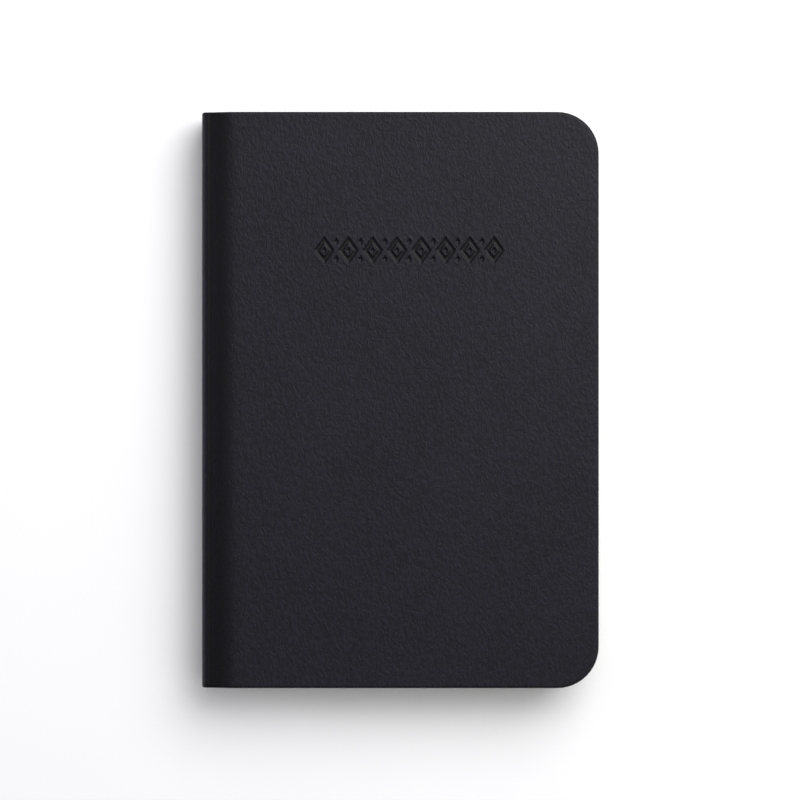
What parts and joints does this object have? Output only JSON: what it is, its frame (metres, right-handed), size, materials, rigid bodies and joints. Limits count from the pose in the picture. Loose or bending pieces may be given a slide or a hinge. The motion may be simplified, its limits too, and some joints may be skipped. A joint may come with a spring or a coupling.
{
  "type": "pocket notebook",
  "caption": "Hard-cover pocket notebook with a grained black cover, square spine, rounded fore-edge corners and sewn pages; both covers open.",
  "frame": {"origin": "middle of the rectangle that the closed notebook covers, on the face of the rear cover that rests on the table", "axes": "+X from the spine to the fore edge, +Y from the tail to the head, +Z from the rear cover to the front cover"},
  "size_m": [0.1, 0.145, 0.0142],
  "materials": {
    "cover_skin": "satin grained",
    "cover_board": "matt",
    "page_paper": "matt",
    "endpaper": "matt",
    "kraft_paper": "matt",
    "mull": "open weave",
    "glue": "satin",
    "thread": "waxed",
    "band_cloth": "ribbed"
  },
  "bodies": {
    "text_block": {"spine_skin": "cover_skin", "spine_board": "cover_board", "spine_lining_paper": "kraft_paper", "mull_lining": "mull", "spine_glue": "glue", "sewing_thread": "thread", "headband": "band_cloth", "tailband": "band_cloth", "front_endpaper_fold": "endpaper", "rear_endpaper_fold": "endpaper", "signature_1": "page_paper", "signature_2": "page_paper", "signature_3": "page_paper", "signature_4": "page_paper", "signature_5": "page_paper", "signature_6": "page_paper"},
    "front_cover": {"front_cover_skin": "cover_skin", "front_cover_board": "cover_board", "front_pastedown": "endpaper"},
    "rear_cover": {"rear_cover_skin": "cover_skin", "rear_cover_board": "cover_board", "rear_pastedown": "endpaper"},
    "front_flyleaf": {"front_flyleaf": "endpaper"},
    "rear_flyleaf": {"rear_flyleaf": "endpaper"},
    "leaf_1": {"leaf_1": "page_paper"},
    "leaf_2": {"leaf_2": "page_paper"},
    "leaf_3": {"leaf_3": "page_paper"},
    "leaf_4": {"leaf_4": "page_paper"},
    "leaf_5": {"leaf_5": "page_paper"},
    "leaf_6": {"leaf_6": "page_paper"},
    "leaf_7": {"leaf_7": "page_paper"},
    "leaf_8": {"leaf_8": "page_paper"}
  },
  "joints": [
    {"name": "front_cover_hinge", "type": "hinge", "parent": "text_block", "child": "front_cover", "pos_m": [-0.0475, 0, 0.01271], "axis": [0, -1, 0], "range_deg": [0, 180]},
    {"name": "rear_cover_hinge", "type": "hinge", "parent": "text_block", "child": "rear_cover", "pos_m": [-0.0475, 0, 0.00147], "axis": [0, 1, 0], "range_deg": [0, 180]},
    {"name": "front_flyleaf_turn", "type": "hinge", "parent": "text_block", "child": "front_flyleaf", "pos_m": [-0.0428, 0, 0.01211], "axis": [0, -1, 0], "range_deg": [0, 158]},
    {"name": "rear_flyleaf_turn", "type": "hinge", "parent": "text_block", "child": "rear_flyleaf", "pos_m": [-0.0428, 0, 0.00207], "axis": [0, 1, 0], "range_deg": [0, 158]},
    {"name": "leaf_1_turn", "type": "hinge", "parent": "text_block", "child": "leaf_1", "pos_m": [-0.042, 0, 0.01197], "axis": [0, -1, 0], "range_deg": [0, 150]},
    {"name": "leaf_2_turn", "type": "hinge", "parent": "text_block", "child": "leaf_2", "pos_m": [-0.0414, 0, 0.01185], "axis": [0, -1, 0], "range_deg": [0, 140]},
    {"name": "leaf_3_turn", "type": "hinge", "parent": "text_block", "child": "leaf_3", "pos_m": [-0.0408, 0, 0.01173], "axis": [0, -1, 0], "range_deg": [0, 130]},
    {"name": "leaf_4_turn", "type": "hinge", "parent": "text_block", "child": "leaf_4", "pos_m": [-0.0402, 0, 0.01161], "axis": [0, -1, 0], "range_deg": [0, 120]},
    {"name": "leaf_5_turn", "type": "hinge", "parent": "text_block", "child": "leaf_5", "pos_m": [-0.0396, 0, 0.01149], "axis": [0, -1, 0], "range_deg": [0, 110]},
    {"name": "leaf_6_turn", "type": "hinge", "parent": "text_block", "child": "leaf_6", "pos_m": [-0.039, 0, 0.01137], "axis": [0, -1, 0], "range_deg": [0, 100]},
    {"name": "leaf_7_turn", "type": "hinge", "parent": "text_block", "child": "leaf_7", "pos_m": [-0.0384, 0, 0.01125], "axis": [0, -1, 0], "range_deg": [0, 90]},
    {"name": "leaf_8_turn", "type": "hinge", "parent": "text_block", "child": "leaf_8", "pos_m": [-0.0378, 0, 0.01113], "axis": [0, -1, 0], "range_deg": [0, 80]}
  ],
  "couplings": [
    {"joint": "front_flyleaf_turn", "follows": "front_cover_hinge", "ratio": 0.875},
    {"joint": "rear_flyleaf_turn", "follows": "rear_cover_hinge", "ratio": 0.875},
    {"joint": "leaf_1_turn", "follows": "front_cover_hinge", "ratio": 0.8333},
    {"joint": "leaf_2_turn", "follows": "front_cover_hinge", "ratio": 0.7777},
    {"joint": "leaf_3_turn", "follows": "front_cover_hinge", "ratio": 0.7222},
    {"joint": "leaf_4_turn", "follows": "front_cover_hinge", "ratio": 0.6666},
    {"joint": "leaf_5_turn", "follows": "front_cover_hinge", "ratio": 0.6111},
    {"joint": "leaf_6_turn", "follows": "front_cover_hinge", "ratio": 0.5555},
    {"joint": "leaf_7_turn", "follows": "front_cover_hinge", "ratio": 0.5},
    {"joint": "leaf_8_turn", "follows": "front_cover_hinge", "ratio": 0.4444}
  ]
}
